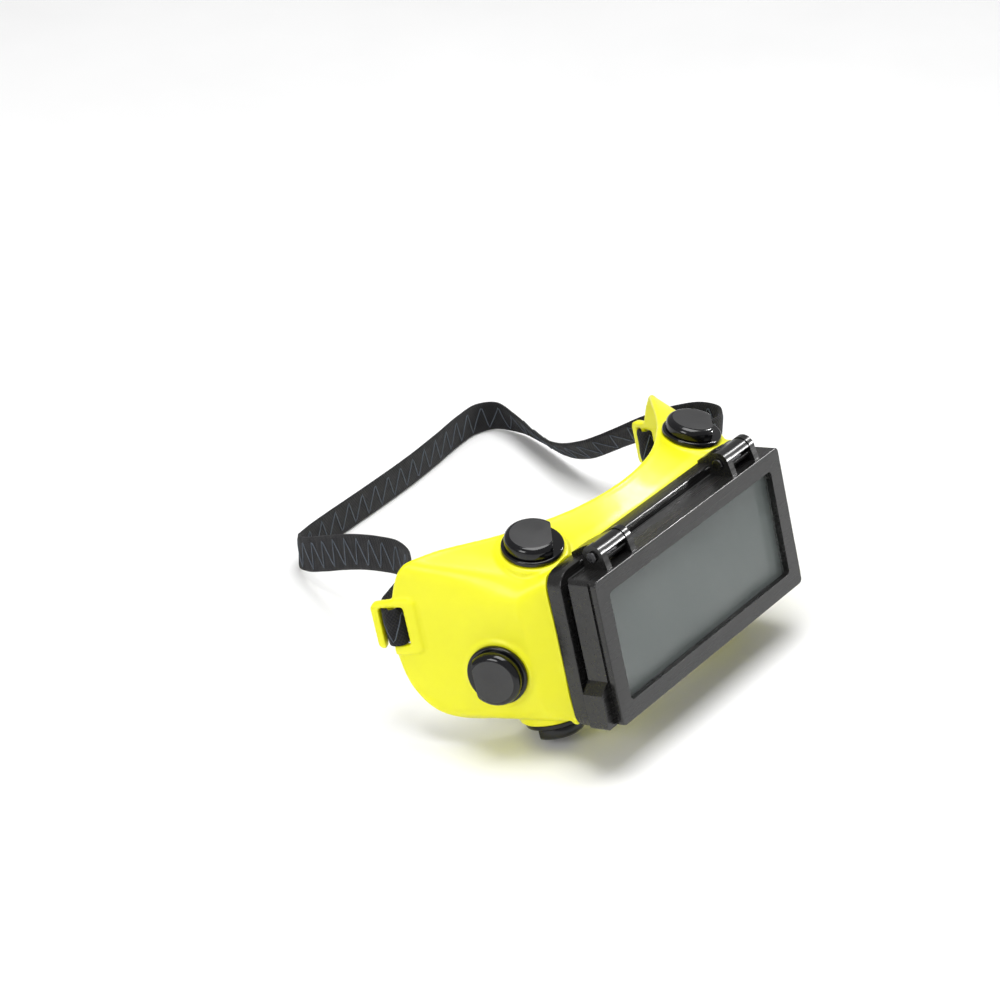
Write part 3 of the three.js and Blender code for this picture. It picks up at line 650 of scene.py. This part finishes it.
def vent_matrix(name):
    """Local axes of a vent in the row frame, in millimetres: towards the cap's cut, across, and outwards."""
    base = node_points("vent_base_" + name)
    middle = base.mean(axis=0)
    outward = Vector(middle) - TO_ROW @ Vector((0, 12, 0))
    out = widest_normal("vent_cap_" + name, towards=outward.normalized())
    lowest = (base @ np.array(out)).min()
    seat = Vector(middle) + out * (lowest - STEM_BOTTOM * MM - Vector(middle).dot(out))
    towards = widest_normal("vent_cap_" + name, square_to=out)
    towards = (towards - out * towards.dot(out)).normalized()
    axes = Matrix((towards, out.cross(towards), out)).transposed().to_4x4()
    return Matrix.Translation(seat) @ axes @ Matrix.Scale(MM, 4)


def eyecup():
    rows = cup_rows()
    parts = [cup_wall(rows)]
    parts.append(tube("rim", rim_line(rows), RIM_RADIUS, 12, True))
    parts.append(slab(*FRONT_PLATE, 0, CUP_LIP))
    parts += [lug_hook(side) for side in (-1, 1)]
    body = transform(join(parts), TO_ROW)
    to_vents = [vent_matrix(name) for name in VENTS]
    bosses = []
    for matrix in to_vents:
        radius = VENT_FLANGE + 1
        foot = radius + 0.8
        profile = [(0, BOSS_FOOT), (foot, BOSS_FOOT), (foot, 0.1), (radius, BOSS_PROUD), (0, BOSS_PROUD)]
        bosses.append(transform(lathe("boss", profile, 48), matrix))
    body = join([body] + bosses)
    remesh(body, VOXEL)
    openings = [transform(slot, TO_ROW) for side in (-1, 1) for slot in lug_slots(side)]
    openings.append(transform(slab(*WINDOW, -3, CUP_LIP + 1), TO_ROW))
    for opening in openings:
        cut(body, opening)
    remesh(body, VOXEL)
    relax(body, 0.5, 7)
    cut(body, transform(slab(160, 90, -8, 0.05), TO_ROW))
    for matrix in to_vents:
        barb, stem, flange = BARB + FIT, STEM + FIT, VENT_FLANGE + FIT
        hole = [
            (0, -THROUGH), (barb, -THROUGH), (barb, BOSS_FOOT), (stem, BOSS_FOOT), (stem, BOSS_PROUD),
            (flange, BOSS_PROUD), (flange, THROUGH), (0, THROUGH),
        ]
        cut(body, transform(lathe("hole", hole, 48), matrix))
    body.name = "eyecup"
    body.data.materials.clear()
    body.data.materials.append(VINYL)
    smooth_shaded(body, 50)
    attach(body, "goggles")
    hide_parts("goggle_body")


eyecup()

# ---------------------------------------------------------------- vents

CAP_RADIUS = 9.9
CAP_HEIGHT = 4.2
CAP_WALL = 2.2
CAP_FILLET = 2.5
CAP_CUT = 6.6
FLANGE_TOP = BOSS_PROUD + 0.3 + 1.8
CAP_FOOT = FLANGE_TOP + 0.05


def vent_base(name, matrix):
    bore = STEM - 1.6
    seat = BOSS_PROUD + FIT
    barb = BOSS_FOOT - FIT
    profile = [
        (bore, STEM_BOTTOM), (STEM, STEM_BOTTOM), (BARB, barb - 0.9), (BARB, barb), (STEM, barb),
        (STEM, seat), (VENT_FLANGE - 0.2, seat), (VENT_FLANGE, seat + 0.2),
        *fillet(VENT_FLANGE - 0.7, FLANGE_TOP - 0.7, 0.7, 5),
        (bore + 0.3, FLANGE_TOP), (bore, FLANGE_TOP - 0.3),
    ]
    base = transform(lathe("vent_plug_" + name, profile, 72, GLOSS), matrix)
    smooth_shaded(base, 40)
    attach(base, "goggles")
    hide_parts("vent_base_" + name)


def vent_cap(name, matrix):
    top = FLANGE_TOP + 0.3 + CAP_HEIGHT
    inside = CAP_RADIUS - CAP_WALL
    profile = [
        (0, top - CAP_WALL), (inside, top - CAP_WALL), (inside, CAP_FOOT), (CAP_RADIUS - 0.3, CAP_FOOT),
        (CAP_RADIUS, CAP_FOOT + 0.3), *fillet(CAP_RADIUS - CAP_FILLET, top - CAP_FILLET, CAP_FILLET, 8),
        (0, top),
    ]
    cap = lathe("vent_hood_" + name, profile, 96, GLOSS, CAP_FACE_PAINTED_REFLECTION)
    web_start = CAP_CUT - 1.8
    chord = math.sqrt(inside**2 - web_start**2) + 0.5
    web = prism(rectangle(web_start, CAP_CUT + 0.5, -chord, chord), CAP_FOOT, top - 2)
    join_modifier = cap.modifiers.new("web", "BOOLEAN")
    join_modifier.operation = "UNION"
    join_modifier.solver = "MANIFOLD"
    join_modifier.object = web
    apply_modifiers(cap)
    bpy.data.objects.remove(web)
    cut(cap, prism(rectangle(CAP_CUT, 20, -20, 20), CAP_FOOT - 1, top + 1))
    cut(cap, prism(rectangle(CAP_CUT - 3, CAP_CUT + 1, -5, 5), CAP_FOOT - 1, CAP_FOOT + 1.8))
    edges = cap.modifiers.new("edges", "BEVEL")
    edges.width = 0.45
    edges.segments = 3
    edges.limit_method = "ANGLE"
    edges.angle_limit = math.radians(42)
    apply_modifiers(cap)
    # The flat top faces take the matte plastic whose lighter colour is painted reflection of the overhead
    # light; the rest of the cap stays gloss.
    for face in cap.data.polygons:
        face.material_index = 1 if face.normal.z > 0.995 and face.center.z > top - 0.1 else 0
    transform(cap, matrix)
    smooth_shaded(cap, 50)
    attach(cap, "goggles")
    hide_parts("vent_cap_" + name)


for vent in VENTS:
    vent_base(vent, vent_matrix(vent))
    vent_cap(vent, vent_matrix(vent))

# ---------------------------------------------------------------- headband

# The route of the band's middle in the row frame, in metres, as the CAD lays it. The fourth number is how
# far the band leans over about its own line, in degrees.
ROUTE = [
    (-0.0748, 0.0455, 0.0420, 0), (-0.0710, 0.0462, 0.0426, 0), (-0.0620, 0.0482, 0.0430, 0),
    (-0.0525, 0.0516, 0.0427, 0), (-0.0445, 0.0578, 0.0420, 0), (-0.0392, 0.0666, 0.0404, 0),
    (-0.0358, 0.0775, 0.0367, 0), (-0.0316, 0.0910, 0.0308, 0), (-0.0276, 0.1040, 0.0241, 0),
    (-0.0234, 0.1165, 0.0170, 0), (-0.0196, 0.1266, 0.0115, 0), (-0.0152, 0.1334, 0.0086, 0),
    (-0.0075, 0.1359, 0.0076, 0), (0.0050, 0.1368, 0.0074, 0), (0.0220, 0.1372, 0.0074, 0),
    (0.0420, 0.1378, 0.0074, 0), (0.0620, 0.1388, 0.0074, 0), (0.0820, 0.1408, 0.0074, 0),
    (0.1000, 0.1430, 0.0074, 0), (0.1120, 0.1430, 0.0074, 0), (0.1195, 0.1380, 0.0074, 10),
    (0.1195, 0.1270, 0.0074, 30), (0.1145, 0.1130, 0.0077, 42), (0.1090, 0.1000, 0.0090, 46),
    (0.1045, 0.0880, 0.0134, 46), (0.1020, 0.0770, 0.0198, 42), (0.1034, 0.0650, 0.0277, 36),
    (0.1062, 0.0535, 0.0350, 28), (0.1094, 0.0425, 0.0404, 18), (0.1110, 0.0320, 0.0438, 8),
    (0.1086, 0.0232, 0.0454, 0), (0.1022, 0.0190, 0.0458, 0), (0.0954, 0.0202, 0.0459, 0),
    (0.0894, 0.0240, 0.0459, 0), (0.0847, 0.0268, 0.0460, 0),
]
WEAVE_LEFT = [
    (-15.5, -3.7), (-11, -3.5), (-7, -3.5), (-5, -2.7), (-4.2, -0.8), (-3.3, 0.9), (-1.6, 1.7), (0.2, 1.5),
    (1.5, 0.4), (2, -1.3), (2.8, -3), (4.5, -4.5), (5.6, -6.0),
]
WEAVE_RIGHT = [
    (-9.0, 4.8), (-6.7, 3.7), (-4.7, 1.9), (-4.1, -0.4), (-3.3, -2.7), (-1.5, -3.7), (0.3, -3.6), (1.5, -2.4),
    (1.9, -0.4), (2.5, 1.7), (4.3, 2.7), (9.6, 2.7),
]
BAND_THICKNESS = 1.35
BAND_STEP = 0.0008
STITCH_PERIOD = 0.0087
STITCH_REACH = 0.40
STITCH_RADIUS = 0.00024


def band_line():
    """The band's middle line and the way its width points, from one lug's weave to the other's."""
    places = []
    widths = []

    def weave(points, side):
        matrix = TO_ROW @ lug_matrix(side)
        up = (matrix.to_3x3() @ Vector((0, 1, 0))).normalized()
        for u, n in points:
            places.append(matrix @ Vector((u, 0, n)))
            widths.append(up)

    weave(WEAVE_LEFT, -1)
    route = [Vector(p[:3]) for p in ROUTE]
    for i, (point, lean) in enumerate(zip(route, (p[3] for p in ROUTE))):
        ahead = route[min(i + 1, len(route) - 1)] - route[max(i - 1, 0)]
        across = ahead.cross(ROW_UP).normalized()
        places.append(point)
        widths.append(math.cos(math.radians(lean)) * ROW_UP + math.sin(math.radians(lean)) * across)
    weave(WEAVE_RIGHT, 1)
    steps = 24
    line = catmull_rom(places, steps, False)
    width = np.array([np.array(w) for w in widths])
    shares = (np.arange(steps) / steps)[:, None]
    spans = [here + (there - here) * shares for here, there in zip(width[:-1], width[1:])]
    spread = np.concatenate(spans + [width[-1:]])
    lengths = np.concatenate([[0], np.cumsum(np.linalg.norm(np.diff(line, axis=0), axis=1))])
    even = np.arange(0, lengths[-1], BAND_STEP)
    line = np.stack([np.interp(even, lengths, line[:, a]) for a in range(3)], axis=1)
    spread = np.stack([np.interp(even, lengths, spread[:, a]) for a in range(3)], axis=1)
    ahead = np.gradient(line, axis=0)
    ahead /= np.linalg.norm(ahead, axis=1, keepdims=True)
    spread -= ahead * (spread * ahead).sum(axis=1, keepdims=True)
    spread /= np.linalg.norm(spread, axis=1, keepdims=True)
    return even, line, spread, np.cross(ahead, spread)


def headband():
    along, line, spread, normal = band_line()
    half_width = STRAP_WIDTH / 2 * MM
    half_thick = BAND_THICKNESS / 2 * MM
    edge = half_thick * 0.9
    corner, shoulder = half_width - edge * 0.3, edge * 0.75
    across = [half_width * (1 - 2 * i / 10) for i in range(1, 10)]
    section = [(w, half_thick) for w in across]
    section += [(-corner, shoulder), (-half_width, 0), (-corner, -shoulder)]
    section += [(-w, -half_thick) for w in across]
    section += [(corner, -shoulder), (half_width, 0), (corner, shoulder)]
    count = len(section)
    vertices = []
    places = []
    for s, point, wide, out in zip(along, line, spread, normal):
        for w, t in section:
            vertices.append(point + w * wide + t * out)
            places.append((s, w, t))
    faces = []
    for i in range(len(line) - 1):
        for j in range(count):
            k = (j + 1) % count
            faces.append((i * count + j, i * count + k, (i + 1) * count + k, (i + 1) * count + j))
    last = (len(line) - 1) * count
    faces.append(tuple(reversed(range(count))))
    faces.append(tuple(range(last, last + count)))
    band = new_object("headband", vertices, faces, WEBBING)
    tidy_normals(band)
    attribute = band.data.attributes.new("band", "FLOAT_VECTOR", "POINT")
    attribute.data.foreach_set("vector", np.array(places).ravel())
    smooth_shaded(band, 60)
    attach(band, "goggles")
    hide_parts("headband_strap", "strap_end_left", "strap_end_right")

    stitches = []
    phase = along / STITCH_PERIOD
    swing = STITCH_REACH * (4 * np.abs(phase - np.floor(phase + 0.5)) - 1)
    height = half_thick + STITCH_RADIUS * 0.3
    for face in (-1, 1):
        path = line + swing[:, None] * STRAP_WIDTH * MM * spread + face * height * normal
        stitches.append(tube("stitch", path, STITCH_RADIUS, 6, False, THREAD))
    stitching = join(stitches)
    stitching.name = "headband_stitching"
    smooth_shaded(stitching, 60)
    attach(stitching, "goggles")


headband()

# ---------------------------------------------------------------- CAD pieces that keep their shape

KEPT = {
    "base_frame": (FRAME_PLASTIC, 0.0006),
    "flip_frame": (FRAME_PLASTIC, 0.0007),
    "clamp_ring": (FRAME_PLASTIC, 0.0004),
    "lens_retainer": (FRAME_PLASTIC, 0.0003),
    "light_seal": (RUBBER, 0.00025),
    "clear_lens": (CLEAR_GLASS, 0.0003),
    "cover_lens": (CLEAR_GLASS, 0.0003),
    "shade_lens": (SHADE_GLASS, 0.0004),
    "hinge_pin_left": (STEEL, 0.0003),
    "hinge_pin_right": (STEEL, 0.0003),
}
for node, (material, width) in KEPT.items():
    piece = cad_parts[node]
    piece.data.materials.clear()
    piece.data.materials.append(material)
    rounded(piece, width)

# ---------------------------------------------------------------- stage

FLOOR_REACH = 6.0
floor_corners = [(x, y, 0) for x, y in rectangle(-FLOOR_REACH, FLOOR_REACH, -FLOOR_REACH, FLOOR_REACH)]
floor = new_object("floor", floor_corners, [(0, 1, 2, 3)], floor_paper())

world = bpy.data.worlds.new("studio")
SCENE.world = world
world.use_nodes = True
background = world.node_tree.nodes["Background"]
background.inputs["Color"].default_value = (1, 1, 1, 1)
background.inputs["Strength"].default_value = 0.42


LIGHT_TARGET = Vector((0, 0, 0.03))


def soft_light(name, place, size, power, glossy_only=False):
    """An area light aimed at the goggles. A glossy-only one makes glints and lights nothing else."""
    data = bpy.data.lights.new(name, "AREA")
    data.shape = "RECTANGLE"
    data.size, data.size_y = size
    data.energy = power
    light = bpy.data.objects.new(name, data)
    light.location = place
    light.rotation_euler = (LIGHT_TARGET - Vector(place)).to_track_quat("-Z", "Y").to_euler()
    light.visible_diffuse = not glossy_only
    SCENE.collection.objects.link(light)


soft_light("overhead", (0.0, -0.05, 1.4), (1.0, 0.8), 18)
soft_light("key_left", (-1.3, 0.1, 0.7), (0.5, 0.5), 6)
soft_light("top_glint", (0.98, -0.27, 0.97), (0.14, 0.14), 7, glossy_only=True)
soft_light("front_glint", (0.98, -0.87, 0.49), (0.12, 0.12), 14, glossy_only=True)

SCENE.view_settings.view_transform = "Standard"
